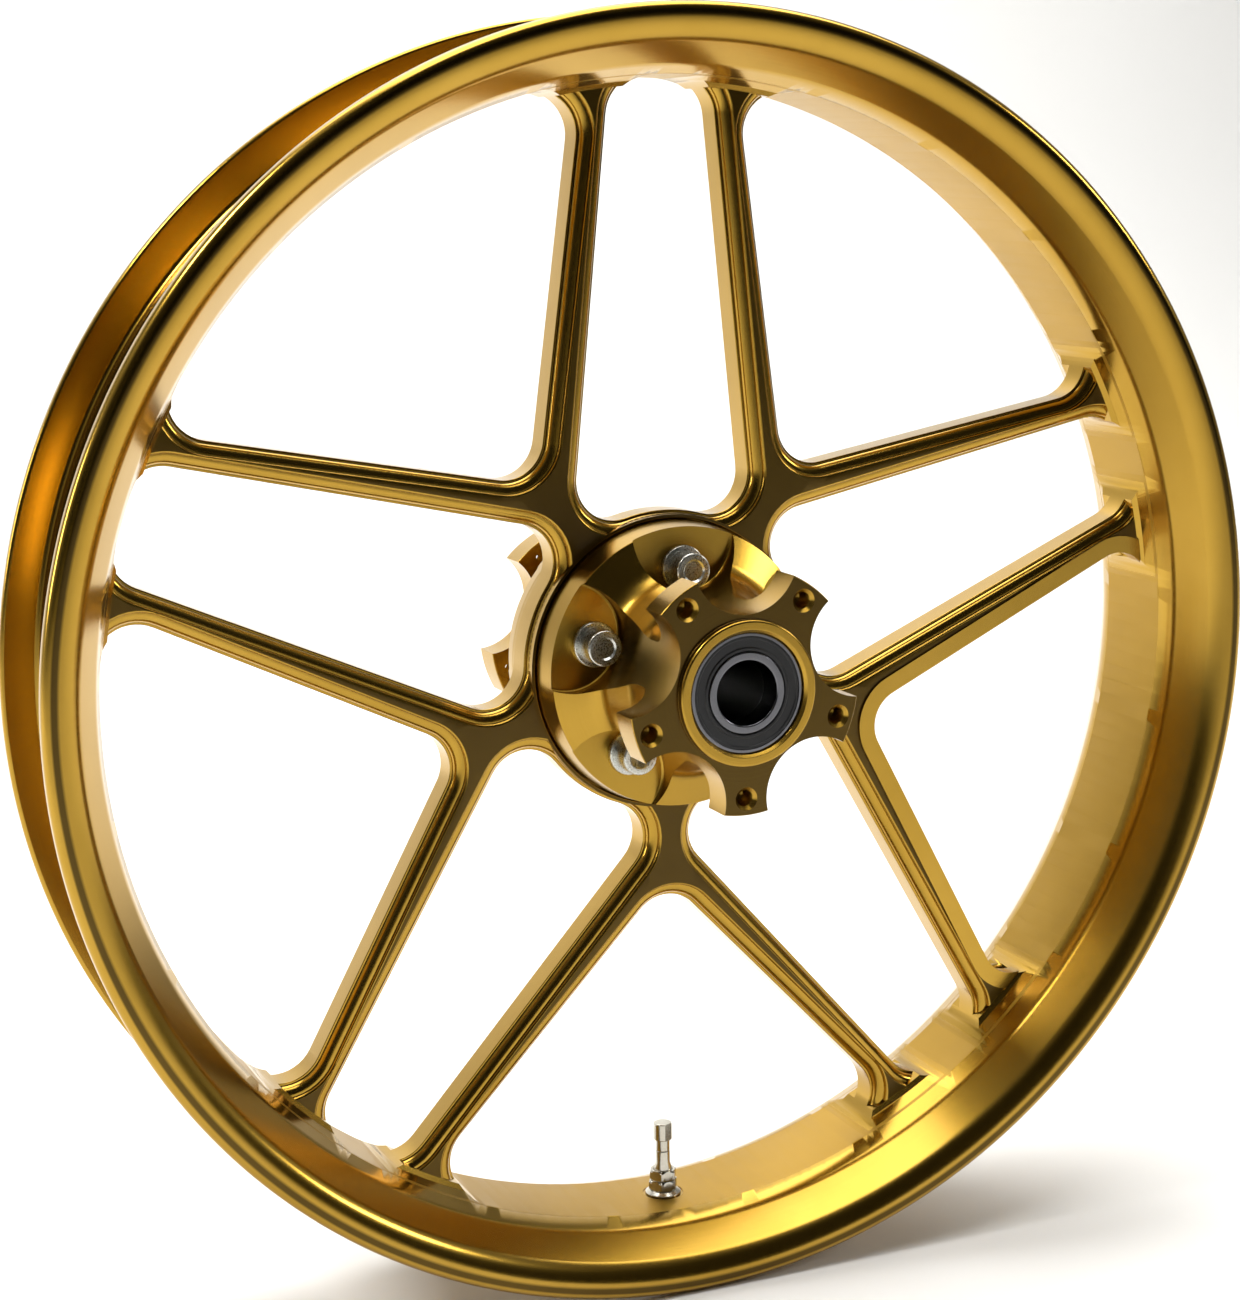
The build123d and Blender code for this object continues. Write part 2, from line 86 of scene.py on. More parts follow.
# ---------------------------------------------------------------- shapes
def rounded(corners, steps=6):
    """Closed outline with its corners rounded, as an array of points.

    Each corner is (x, y, radius). Its arc touches both sides at radius / tan(half the corner's
    angle) from the corner, and its points are turned evenly from one touching point to the other.
    """
    data = np.array(corners, float)
    point = data[:, :2]
    radius = data[:, 2:3]
    back = np.roll(point, 1, axis=0) - point
    ahead = np.roll(point, -1, axis=0) - point
    back /= np.linalg.norm(back, axis=1, keepdims=True)
    ahead /= np.linalg.norm(ahead, axis=1, keepdims=True)
    half = np.arccos(np.clip((back * ahead).sum(1, keepdims=True), -1, 1)) / 2
    reach = radius / np.tan(half)
    middle = back + ahead
    middle /= np.linalg.norm(middle, axis=1, keepdims=True)
    centre = point + middle * radius / np.sin(half)
    first = point + back * reach - centre
    last = point + ahead * reach - centre
    sweep = pi - 2 * half[:, :, None]
    part = np.linspace(0, 1, steps)[None, :, None]
    mixed = np.sin((1 - part) * sweep) * first[:, None] + np.sin(part * sweep) * last[:, None]
    outline = (centre[:, None] + mixed / np.sin(sweep)).reshape(-1, 2)
    keep = np.linalg.norm(outline - np.roll(outline, 1, axis=0), axis=1) > 1e-6
    return outline[keep]


def both_sides(half_profile):
    """A half profile of (radius, distance from the mid-plane, corner radius), then its mirror."""
    return half_profile + [(r, -a, c) for r, a, c in reversed(half_profile)]


def grid_faces(rows, columns):
    """Quads of a grid that closes on itself both ways."""
    row, column = np.meshgrid(np.arange(rows), np.arange(columns), indexing="ij")
    next_row = (row + 1) % rows
    next_column = (column + 1) % columns
    corners = [
        row * columns + column,
        next_row * columns + column,
        next_row * columns + next_column,
        row * columns + next_column,
    ]
    return np.stack(corners, axis=-1).reshape(-1, 4)


def turned(profile, segments, axis="Y", centre=(0, 0)):
    """Surface of a closed (radius, height) profile turned about an axis parallel to Y or Z.

    A point at radius r and turn t is r cos t and r sin t across the axis, at its own height along it.
    """
    turn = np.linspace(0, 2 * pi, segments, endpoint=False)
    radius, height = profile[:, :1], profile[:, 1:2]
    across = centre[0] + radius * np.cos(turn)
    up = centre[1] + radius * np.sin(turn)
    along = np.broadcast_to(height, across.shape)
    order = (across, along, up) if axis == "Y" else (across, up, along)
    return np.stack(order, axis=-1).reshape(-1, 3), grid_faces(len(profile), segments)


def faceted(profile, flats, sides, segments, centre=(0, 0), axis="Z", turn=0.0):
    """Turned surface whose radius never passes the flats of a regular prism.

    At turn t the flat lies at half the width over flats, divided by the cosine of the angle to the
    nearest flat's middle, and each point takes the smaller of that and the profile's radius.
    """
    angle = np.linspace(0, 2 * pi, segments, endpoint=False)
    from_flat = np.clip(np.mod(angle - turn, 2 * pi / sides) - pi / sides, -1.5, 1.5)
    radius = np.minimum(profile[:, :1], flats / 2 / np.cos(from_flat))
    across = centre[0] + radius * np.cos(angle)
    up = centre[1] + radius * np.sin(angle)
    along = np.broadcast_to(profile[:, 1:2], across.shape)
    order = (across, along, up) if axis == "Y" else (across, up, along)
    return np.stack(order, axis=-1).reshape(-1, 3), grid_faces(len(profile), segments)


def repeated(shape, angles):
    """Copies of a shape turned about the axle by each angle, as one shape."""
    points, faces = shape
    c, s = np.cos(angles), np.sin(angles)
    x = points[None, :, 0] * c[:, None] - points[None, :, 2] * s[:, None]
    z = points[None, :, 0] * s[:, None] + points[None, :, 2] * c[:, None]
    y = np.broadcast_to(points[None, :, 1], x.shape)
    offset = (np.arange(len(angles)) * len(points))[:, None, None]
    points = np.stack((x, y, z), axis=-1).reshape(-1, 3)
    return points, (faces[None] + offset).reshape(-1, faces.shape[1])


def mirrored(shape):
    """The same shape on the other side of the wheel's mid-plane, with its faces turned to match."""
    points, faces = shape
    return points * (1, -1, 1), faces[:, ::-1]


def joined(*shapes):
    """Several shapes as one list of points and faces."""
    starts = np.cumsum([0] + [len(points) for points, faces in shapes[:-1]])
    points = np.concatenate([points for points, faces in shapes])
    return points, np.concatenate([faces + start for (_, faces), start in zip(shapes, starts)])


def make_object(name, shape, caps=()):
    """Mesh object from points in mm and faces, closed at any caps and facing outwards."""
    points, faces = shape
    mesh = bpy.data.meshes.new(name)
    mesh.from_pydata((points * MM).tolist(), [], faces.tolist() + [list(cap) for cap in caps])
    shell = bmesh.new()
    shell.from_mesh(mesh)
    bmesh.ops.remove_doubles(shell, verts=shell.verts, dist=1e-7)
    bmesh.ops.dissolve_degenerate(shell, dist=1e-8, edges=shell.edges)
    bmesh.ops.recalc_face_normals(shell, faces=shell.faces)
    shell.to_mesh(mesh)
    shell.free()
    piece = bpy.data.objects.new(name, mesh)
    bpy.context.scene.collection.objects.link(piece)
    return piece


def cut(piece, tool, operation="DIFFERENCE"):
    """Apply an exact boolean with a tool, then remove the tool."""
    change = piece.modifiers.new("cut", "BOOLEAN")
    change.operation = operation
    change.solver = "EXACT"
    change.object = tool
    apply_modifiers(piece)
    bpy.data.meshes.remove(tool.data)


def apply_modifiers(piece):
    """Replace a piece's mesh with its result after all modifiers."""
    evaluated = piece.evaluated_get(bpy.context.evaluated_depsgraph_get())
    result = bpy.data.meshes.new_from_object(evaluated)
    piece.modifiers.clear()
    old = piece.data
    piece.data = result
    bpy.data.meshes.remove(old)


def smooth(piece, angle=28.0):
    """Smooth shading with sharp edges past an angle, and flat faces kept flat by weighted normals."""
    piece.data.shade_smooth()
    piece.data.set_sharp_from_angle(angle=radians(angle))
    if piece.name.startswith("forged_wheel"):
        sharpen_pads(piece.data)
    weight = piece.modifiers.new("flats", "WEIGHTED_NORMAL")
    weight.keep_sharp = True
    weight.weight = FLAT_FACE_WEIGHT
    apply_modifiers(piece)


def sharpen_pads(mesh):
    """Sharp edges where a window's end meets the barrel: both ends at the window radius, off the web."""
    place = np.empty(len(mesh.vertices) * 3)
    mesh.vertices.foreach_get("co", place)
    place = place.reshape(-1, 3) / MM
    radius = np.hypot(place[:, 0], place[:, 2])
    on_rim = (np.abs(radius - WINDOW_RADIUS) < 0.02) & (np.abs(place[:, 1]) > HALF_WEB)
    ends = np.empty(len(mesh.edges) * 2, int)
    mesh.edges.foreach_get("vertices", ends)
    both = on_rim[ends.reshape(-1, 2)].all(axis=1)
    attribute = mesh.attributes.get("sharp_edge") or mesh.attributes.new("sharp_edge", "BOOLEAN", "EDGE")
    sharp = np.empty(len(mesh.edges), bool)
    attribute.data.foreach_get("value", sharp)
    attribute.data.foreach_set("value", sharp | both)


def finish_piece(piece, body, slot, material, *nodes):
    """Hang a finished piece on its body in place of the CAD nodes that it stands for."""
    piece.data.materials.clear()
    piece.data.materials.append(material)
    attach(piece, body)
    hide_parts(*nodes)


def arc(centre, radius, start, end, steps, outwards=1):
    """Points of an arc with the outward direction at each, start and end included."""
    angle = np.linspace(start, end, steps)
    direction = np.stack((np.cos(angle), np.sin(angle)), axis=1)
    return np.array(centre) + radius * direction, outwards * direction


def window_outline(low, high, apex):
    """Outline of a window about its own middle line, with the outward direction at each point.

    The side is the straight line through low and high. Each corner is an arc of the cutter's radius
    that touches the side and the rim's circle, and the side and the hub ring's circle. A window with
    an apex has one arc there that touches both sides.
    """
    low, high = np.array(low, float), np.array(high, float)
    run = (high - low) / np.linalg.norm(high - low)
    inward = np.array((run[1], -run[0]))
    start = low + inward * WINDOW_CORNER

    def centre_at(distance, far):
        along = start @ run
        root = np.sqrt(along**2 - start @ start + distance**2)
        return start + run * (-along + (root if far else -root))

    side_angle = np.arctan2(-inward[1], -inward[0])
    outer = centre_at(WINDOW_RADIUS - WINDOW_CORNER, True)
    outer_angle = np.arctan2(outer[1], outer[0])
    pieces = [
        arc((0, 0), WINDOW_RADIUS, 0, outer_angle, 14),
        arc(outer, WINDOW_CORNER, outer_angle, side_angle, 14),
    ]
    if apex:
        centre = start - run * start[1] / run[1]
        pieces.append(arc(centre, WINDOW_CORNER, side_angle, pi, 14))
    else:
        below = np.sqrt(start @ start - (start @ run) ** 2)
        inner_distance = RING_RADIUS + WINDOW_CORNER
        root = np.sqrt(inner_distance**2 - below**2)
        inner = start + run * (root - start @ run)
        inner_angle = np.arctan2(inner[1], inner[0])
        pieces.append(arc(inner, WINDOW_CORNER, side_angle, inner_angle + pi, 14))
        pieces.append(arc((0, 0), RING_RADIUS, inner_angle, 0, 8, outwards=-1))
    points = np.concatenate([piece[0] for piece in pieces])
    normals = np.concatenate([piece[1] for piece in pieces])
    points = np.concatenate((points, points[::-1] * (1, -1)))
    normals = np.concatenate((normals, normals[::-1] * (1, -1)))
    keep = np.linalg.norm(points - np.roll(points, 1, axis=0), axis=1) > 1e-4
    return points[keep], normals[keep]


def carried(section, outline, angle):
    """Section of (outward distance, height) points carried round a window's outline.

    A point is the outline's point plus the section's distance along the outward direction, at the
    section's height across the web. The window's middle line is turned to the given angle.
    """
    points, normals = outline
    flat = points[None] + section[:, :1, None] * normals[None]
    c, s = cos(angle), sin(angle)
    x = flat[..., 0] * c - flat[..., 1] * s
    z = flat[..., 0] * s + flat[..., 1] * c
    y = np.broadcast_to(section[:, 1:2], x.shape)
    return np.stack((x, y, z), axis=-1).reshape(-1, 3), grid_faces(len(section), len(points))


def prism(outline, angle, height):
    """Straight prism of a window's outline through the web, with its two end caps."""
    section = np.array([(0.0, -height), (0.0, height)])
    points, faces = carried(section, outline, angle)
    count = len(outline[0])
    sides = faces[:count]
    return (points, sides), [range(count), range(2 * count - 1, count - 1, -1)]


def edge_section():
    """The moulded window edge as a cutter's section, for the face at positive height.

    From the flat face down it has a small round bead, a step, a narrow ledge, a large quarter round,
    a second ledge and a slightly broken corner at the wall.
    """
    top = HALF_WEB + 1
    bead = arc((6.2, HALF_WEB - 1.1), 1.1, pi / 2, pi, 6)[0]
    large = arc((4.6, HALF_WEB - 5.2), 3.6, pi / 2, pi, 10)[0]
    corner = arc((0.45, HALF_WEB - 5.65), 0.45, pi / 2, pi, 4)[0]
    return np.concatenate(
        (
            [(-1.0, top), (6.2, top)],
            bead,
            [(5.1, HALF_WEB - 1.6)],
            large,
            corner,
            [(-1.0, HALF_WEB - 5.65)],
        )
    )


# ---------------------------------------------------------------- materials
def srgb(code, alpha=1.0):
    """Linear colour from an sRGB hex value."""
    value = np.array([int(code[i : i + 2], 16) for i in (1, 3, 5)]) / 255
    linear = np.where(value <= 0.04045, value / 12.92, ((value + 0.055) / 1.055) ** 2.4)
    return (*linear.tolist(), alpha)


def add(tree, kind, links=(), values=(), **settings):
    """Add a node with its settings, socket values and incoming links, and return it."""
    node = tree.nodes.new(kind)
    for name, value in settings.items():
        setattr(node, name, value)
    for socket, value in dict(values).items():
        node.inputs[socket].default_value = value
    for socket, output in dict(links).items():
        tree.links.new(output, node.inputs[socket])
    return node


def start_material(name):
    """Empty material with its tree, shader and object coordinates."""
    material = bpy.data.materials.new(name)
    material.use_nodes = True
    tree = material.node_tree
    shader = tree.nodes["Principled BSDF"]
    place = add(tree, "ShaderNodeTexCoord").outputs["Object"]
    return material, tree, shader, place


def ramp(tree, source, low, high, first, second):
    """Colour ramp from first to second colour as the source runs from low to high."""
    node = add(tree, "ShaderNodeValToRGB", links={"Fac": source})
    node.color_ramp.elements[0].position = low
    node.color_ramp.elements[0].color = first
    node.color_ramp.elements[1].position = high
    node.color_ramp.elements[1].color = second
    return node.outputs["Color"]


def axle_distance(tree, place):
    """Distance from the axle and height along it, both in mm."""
    parts = add(tree, "ShaderNodeSeparateXYZ", links={"Vector": place})
    flat = add(
        tree,
        "ShaderNodeCombineXYZ",
        links={"X": parts.outputs["X"], "Z": parts.outputs["Z"]},
    )
    length = add(tree, "ShaderNodeVectorMath", links={0: flat.outputs[0]}, operation="LENGTH")
    radius = add(
        tree,
        "ShaderNodeMath",
        links={0: length.outputs["Value"]},
        values={1: 1000.0},
        operation="MULTIPLY",
    )
    height = add(
        tree, "ShaderNodeMath", links={0: parts.outputs["Y"]}, values={1: 1000.0}, operation="MULTIPLY"
    )
    return radius.outputs[0], height.outputs[0]


def band(tree, source, low, high, blur):
    """1 where the source lies between low and high, falling to 0 over the blur."""
    rise = add(
        tree,
        "ShaderNodeMapRange",
        links={"Value": source},
        values={"From Min": low - blur, "From Max": low + blur},
    )
    fall = add(
        tree,
        "ShaderNodeMapRange",
        links={"Value": source},
        values={"From Min": high + blur, "From Max": high - blur},
    )
    return add(
        tree,
        "ShaderNodeMath",
        links={0: rise.outputs[0], 1: fall.outputs[0]},
        operation="MULTIPLY",
    ).outputs[0]


def turning_marks(tree, radius, height, spacing):
    """Ring marks left by a lathe: noise that changes only with radius and height."""
    line = add(tree, "ShaderNodeCombineXYZ", links={"X": radius, "Y": height})
    return add(
        tree,
        "ShaderNodeTexNoise",
        links={"Vector": line.outputs[0]},
        values={"Scale": 1 / spacing, "Detail": 3.0, "Roughness": 0.6},
    ).outputs["Fac"]


def oxide(shader):
    """Metal under a clear anodised oxide, which adds a pale sheen of its own."""
    shader.inputs["Metallic"].default_value = 1.0
    shader.inputs["Coat Weight"].default_value = 0.15
    shader.inputs["Coat Roughness"].default_value = 0.12


def gold_forging():
    """Gold anodised forged aluminium: satin milled web, turned barrel and polished window edges.

    The web flats and the lip's outer faces get a deep olive gold: painted shade for the dark surroundings
    those flat faces reflect. The milled web also scatters light through a higher roughness. The polished
    edges keep a near-mirror gloss with yellow highlights, and the rim shows fine turning rings.
    """
    material, tree, shader, place = start_material("anodised_aluminium_forging")
    radius, height = axle_distance(tree, place)
    facing = add(tree, "ShaderNodeMath", links={0: height}, operation="ABSOLUTE").outputs[0]
    web_flat = add(
        tree,
        "ShaderNodeMath",
        links={0: band(tree, radius, 58.5, 226.5, 0.1), 1: band(tree, facing, 10.97, 11.2, 0.02)},
        operation="MULTIPLY",
    ).outputs[0]
    # painted shade: the web flats and the lip's outer faces are picked for a darker copy of the gold,
    # standing in for the dark surroundings they reflect
    painted_shade_faces = add(
        tree,
        "ShaderNodeMath",
        links={0: web_flat, 1: band(tree, facing, 45.1, 45.4, 0.06)},
        operation="MAXIMUM",
    ).outputs[0]
    pad = band(tree, radius, 230.0, 230.45, 0.05)
    cloud = add(
        tree,
        "ShaderNodeTexNoise",
        links={"Vector": place},
        values={"Scale": 14.0, "Detail": 4.0, "Roughness": 0.55},
    ).outputs["Fac"]
    gold = ramp(tree, cloud, 0.3, 0.7, srgb("#A8842E"), srgb("#B48F38"))
    # painted shade: the darker copy of the gold for the faces picked above
    painted_shade_gold = ramp(tree, cloud, 0.3, 0.7, srgb("#4E3C15"), srgb("#5A461A"))
    colour = add(
        tree, "ShaderNodeMix", data_type="RGBA", links={0: painted_shade_faces, 6: gold, 7: painted_shade_gold}
    )
    tree.links.new(colour.outputs[2], shader.inputs["Base Color"])
    rings = turning_marks(tree, radius, height, 0.9)
    base_rough = add(
        tree,
        "ShaderNodeMapRange",
        links={"Value": rings},
        values={"To Min": 0.16, "To Max": 0.23},
    ).outputs[0]
    with_flat = add(
        tree,
        "ShaderNodeMapRange",
        links={"Value": web_flat, "To Min": base_rough},
        values={"To Max": 0.38},
    ).outputs[0]
    rough = add(
        tree,
        "ShaderNodeMapRange",
        links={"Value": pad, "To Min": with_flat},
        values={"To Max": 0.45},
    ).outputs[0]
    tree.links.new(rough, shader.inputs["Roughness"])
    oxide(shader)
    bump = add(
        tree,
        "ShaderNodeBump",
        links={"Height": rings},
        values={"Strength": 0.04, "Distance": 0.0002},
    )
    tree.links.new(bump.outputs[0], shader.inputs["Normal"])
    return material


def gold_hub():
    """Gold anodised billet aluminium: turned and milled, so glossy with faint cutter rings."""
    material, tree, shader, place = start_material("anodised_aluminium_billet")
    radius, height = axle_distance(tree, place)
    rings = turning_marks(tree, radius, height, 0.5)
    gold = ramp(tree, rings, 0.3, 0.7, srgb("#A8842E"), srgb("#B48F38"))
    # painted shade: a darker copy of the gold, put on the outer flat face of each hub half
    painted_shade_star_gold = ramp(tree, rings, 0.3, 0.7, srgb("#4E3C15"), srgb("#5A461A"))
    facing = add(tree, "ShaderNodeMath", links={0: height}, operation="ABSOLUTE").outputs[0]
    painted_shade_star = band(tree, facing, 80.45, 80.6, 0.03)
    colour = add(tree, "ShaderNodeMix", data_type="RGBA", links={0: painted_shade_star, 6: gold, 7: painted_shade_star_gold})
    tree.links.new(colour.outputs[2], shader.inputs["Base Color"])
    rough = add(
        tree, "ShaderNodeMapRange", links={"Value": rings}, values={"To Min": 0.2, "To Max": 0.3}
    )
    tree.links.new(rough.outputs[0], shader.inputs["Roughness"])
    oxide(shader)
    bump = add(
        tree, "ShaderNodeBump", links={"Height": rings}, values={"Strength": 0.06, "Distance": 0.0002}
    )
    tree.links.new(bump.outputs[0], shader.inputs["Normal"])
    return material


def plain_metal(name, light, dark, low, high, grain):
    """Metal whose colour and roughness vary with a fine grain of the given size in mm."""
    material, tree, shader, place = start_material(name)
    noise = add(
        tree,
        "ShaderNodeTexNoise",
        links={"Vector": place},
        values={"Scale": 1000 / grain, "Detail": 3.0, "Roughness": 0.6},
    ).outputs["Fac"]
    tree.links.new(ramp(tree, noise, 0.3, 0.7, srgb(dark), srgb(light)), shader.inputs["Base Color"])
    rough = add(
        tree, "ShaderNodeMapRange", links={"Value": noise}, values={"To Min": low, "To Max": high}
    )
    tree.links.new(rough.outputs[0], shader.inputs["Roughness"])
    shader.inputs["Metallic"].default_value = 1.0
    return material


def moulded(name, light, dark, rough, grain):
    """Moulded rubber or plastic with the faint grain of its mould, in mm."""
    material, tree, shader, place = start_material(name)
    noise = add(
        tree,
        "ShaderNodeTexNoise",
        links={"Vector": place},
        values={"Scale": 1000 / grain, "Detail": 2.0, "Roughness": 0.5},
    ).outputs["Fac"]
    tree.links.new(ramp(tree, noise, 0.35, 0.65, srgb(dark), srgb(light)), shader.inputs["Base Color"])
    shader.inputs["Roughness"].default_value = rough
    bump = add(
        tree, "ShaderNodeBump", links={"Height": noise}, values={"Strength": 0.1, "Distance": 0.0001}
    )
    tree.links.new(bump.outputs[0], shader.inputs["Normal"])
    return material


def finish(name):
    """The material of a finish, made on first use."""
    made = {
        "gold_anodised_forging": (gold_forging,),
        "gold_anodised_hub": (gold_hub,),
        # electroplated zinc: pale grey with a soft, slightly milky gloss
        "zinc_steel": (plain_metal, "zinc_plated_steel", "#D8D8D2", "#BDBDB6", 0.22, 0.34, 0.6),
        # hardened and ground: mid grey, so the broken edges catch the light
        "ground_steel": (plain_metal, "ground_bearing_steel", "#77777B", "#68686D", 0.14, 0.24, 0.5),
        # lapped: close to a mirror
        "polished_steel": (plain_metal, "polished_steel", "#D2D2D4", "#C6C6C9", 0.05, 0.1, 0.5),
        # injection moulded: cream with a low sheen
        "cage_nylon": (moulded, "moulded_nylon", "#D6D0B8", "#C9C2A8", 0.45, 0.8),
        # moulded nitrile: near black with a dull grain
        "seal_rubber": (moulded, "moulded_nitrile_rubber", "#17171A", "#0E0E10", 0.42, 0.4),
        # turned tube, black anodised: satin charcoal
        "turned_aluminium": (
            plain_metal,
            "black_anodised_aluminium",
            "#3B3833",
            "#2F2D29",
            0.3,
            0.42,
            0.5,
        ),
        # plated over turned brass: warm silver with small sharp glints
        "valve_nickel": (plain_metal, "nickel_plated_brass", "#D5D1C6", "#BFBAAD", 0.14, 0.26, 0.4),
        # turned brass: yellow with fine tool marks
        "core_brass": (plain_metal, "turned_brass", "#D9B15E", "#C79E4A", 0.2, 0.32, 0.4),
    }
    if name not in FINISHES:
        maker, *look = made[name]
        FINISHES[name] = maker(*look)
    return FINISHES[name]


FINISHES = {}


# ---------------------------------------------------------------- sizes that a user may change
class WheelSizes(bpy.types.PropertyGroup):
    """Sizes of the wheel's visible surfaces."""

    rim_segments: bpy.props.IntProperty(
        name="Rim segments", description="Steps round the rim", default=400
    )
    cove_radius: bpy.props.FloatProperty(
        name="Cove radius", description="Hollow between barrel and lip, mm", default=14.0
    )
    lip_round: bpy.props.FloatProperty(
        name="Lip round", description="Rounding of the lip's outer edge, mm", default=3.6
    )


class StudioLook(bpy.types.PropertyGroup):
    """Light and camera of the studio."""

    lens: bpy.props.FloatProperty(name="Lens", description="Focal length, mm", default=69.2)
    distance: bpy.props.FloatProperty(
        name="Distance", description="Camera to wheel centre", default=1.015, unit="LENGTH"
    )
    sweep_radius: bpy.props.FloatProperty(
        name="Sweep radius", description="Curve between floor and wall", default=1.0, unit="LENGTH"
    )
    floor_colour: bpy.props.FloatVectorProperty(
        name="Floor", description="Floor colour", subtype="COLOR", size=4, default=srgb("#F4F3F0")
    )


# ---------------------------------------------------------------- pieces
class WHEEL_OT_forging(bpy.types.Operator):
    """Make the forged wheel: rim, web and spoke pairs with moulded window edges."""

    bl_idname = "wheel.forging"
    bl_label = "Forged wheel"

    def execute(self, context):
        sizes = context.scene.wheel_sizes
        half_profile = [
            (32.05, 4.0, 0.3),
            (58.2, 4.0, 0.4),
            (58.2, 11.0, 0.35),
            (FOOT_RADIUS, 11.0, 0.0),
            (228.3, 12.8, 0.5),
            (233.3, 27.0, sizes.cove_radius),
            (244.7, 45.2, 12.0),
            (256.0, 45.2, sizes.lip_round),
            (256.0, 38.1, 1.6),
            (241.3, 38.1, 2.5),
            (239.9, 20.0, 3.0),
            (234.6, 15.0, 3.0),
        ]
        profile = rounded(both_sides(half_profile))
        wheel = make_object("forged_wheel_surface", turned(profile, sizes.rim_segments))
        outlines = (
            (window_outline((100.0, 34.8), (FOOT_RADIUS, 22.0), False), 0.0),
            (window_outline(*wide_side(), True), pi / PAIRS),
        )
        section = edge_section()
        limit_profile = np.array(
            [(59.6, -20.0), (59.6, 20.0), (FOOT_RADIUS, 20.0), (FOOT_RADIUS, -20.0)]
        )
        for outline, first in outlines:
            angles = np.arange(PAIRS) * PITCH
            middle = pi / 2 + first
            shape, caps = prism(outline, middle, 24.0)
            count = len(shape[0])
            caps = [[i + count * copy for i in cap] for cap in caps for copy in range(PAIRS)]
            cut(wheel, make_object("window_cutter", repeated(shape, angles), caps))
            face_edge = carried(section, outline, middle)
            edges = repeated(joined(face_edge, mirrored(face_edge)), angles)
            cutter = make_object("edge_cutter", edges)
            limit = make_object("edge_limit", turned(limit_profile, sizes.rim_segments))
            cut(cutter, limit, "INTERSECT")
            cut(wheel, cutter)
        drill = np.array([(0, -20.0), (5.0, -20.0), (5.0, 20.0), (0, 20.0)])
        holes = turned(drill, 48, "Y", (0, BOLT_PITCH))
        cut(wheel, make_object("bolt_holes", repeated(holes, np.arange(PAIRS) * PITCH)))
        bore = turned(np.array([(0, -245.0), (4.15, -245.0), (4.15, -225.0), (0, -225.0)]), 48, "Z")
        cut(wheel, make_object("valve_hole", bore))
        seat = np.array([(0, -SEAT_LEVEL), (8.5, -SEAT_LEVEL), (8.5, -224.0), (0, -224.0)])
        spot = turned(seat, 64, "Z")
        cut(wheel, make_object("valve_seat", spot))
        smooth(wheel)
        slot = "gold_anodised_forging"
        finish_piece(wheel, "wheel", slot, finish(slot), "forged_wheel")
        return {"FINISHED"}


def wide_side():
    """Two points of the wide window's side, seen from that window's own middle line."""
    turn = pi / PAIRS
    points = np.array(((100.0, 50.0), (FOOT_RADIUS, 33.0)))
    along = points[:, 0] * cos(turn) + points[:, 1] * sin(turn)
    across = points[:, 0] * sin(turn) - points[:, 1] * cos(turn)
    return np.stack((along, across), axis=1)


class WHEEL_OT_hubs(bpy.types.Operator):
    """Make both hub halves with their scallops, rotor lugs and tapped holes."""

    bl_idname = "wheel.hubs"
    bl_label = "Hub halves"

    def execute(self, context):
        profile = rounded(
            [
                (20.0, 69.5, 0.2),
                (20.0, 0.4, 0.2),
                (31.95, 0.4, 0.2),
                (31.95, 4.0, 0.2),
                (57.7, 4.0, 0.3),
                (57.7, 11.0, 0.6),
                (56.2, 24.5, 0.4),
                (40.5, 32.0, 14.0),
                (33.0, 50.0, 20.0),
                (33.0, 66.0, 6.5),
                (47.8, 66.0, 0.5),
                (47.8, 80.5, 0.5),
                (28.2, 80.5, 0.2),
                (28.2, 83.5, 1.0),
                (24.6, 83.5, 0.3),
                (23.5, 82.4, 0.3),
                (23.5, 69.5, 0.2),
            ],
            8,
        )
        copies = np.arange(PAIRS) * PITCH
        hub = make_object("far_hub_surface", turned(profile, 240))
        scallop = rounded([(0, 23.0, 0), (21.7, 23.0, 1.2), (21.7, 90.0, 0), (0, 90.0, 0)], 6)
        cut(hub, make_object("scallops", repeated(turned(scallop, 120, "Y", (0, 51.5)), copies)))
        thread = np.arange(71.0, 79.0, 1.25)
        teeth = np.stack(
            (np.tile((3.25, 3.75), len(thread)), (thread[:, None] + (0.0, 0.62)).ravel()), 1
        )
        tapped = np.concatenate(
            (
                [(0, 68.9), (3.25, 70.5)],
                teeth,
                [(3.25, 79.2), (4.6, 80.5), (4.6, 82.0), (0, 82.0)],
            )
        )
        rotor_hole = turned(tapped, 48, "Y", (0, -ROTOR_PITCH))
        cut(hub, make_object("rotor_holes", repeated(rotor_hole, copies)))
        bolt = np.array([(0, 0.0), (4.95, 0.0), (4.95, 26.0), (0, 26.0)])
        cut(hub, make_object("bolt_holes", repeated(turned(bolt, 48, "Y", (0, BOLT_PITCH)), copies)))
        pocket = rounded([(8.6, 58.0, 0), (8.6, 69.5, 1.0), (0, 69.5, 0), (0, 58.0, 0)], 4)
        pockets = faceted(pocket, 9.2, 4, 96, (0, -ROTOR_PITCH), "Y")
        cut(hub, make_object("lug_pockets", repeated(pockets, copies)))
        near = bpy.data.objects.new("near_hub_surface", hub.data.copy())
        context.scene.collection.objects.link(near)
        near.data.transform(Matrix.Scale(-1, 4, (0, 1, 0)))
        near.data.flip_normals()
        slot = "gold_anodised_hub"
        for piece, node in ((hub, "far_hub"), (near, "near_hub")):
            smooth(piece)
            finish_piece(piece, "wheel", slot, finish(slot), node)
        return {"FINISHED"}


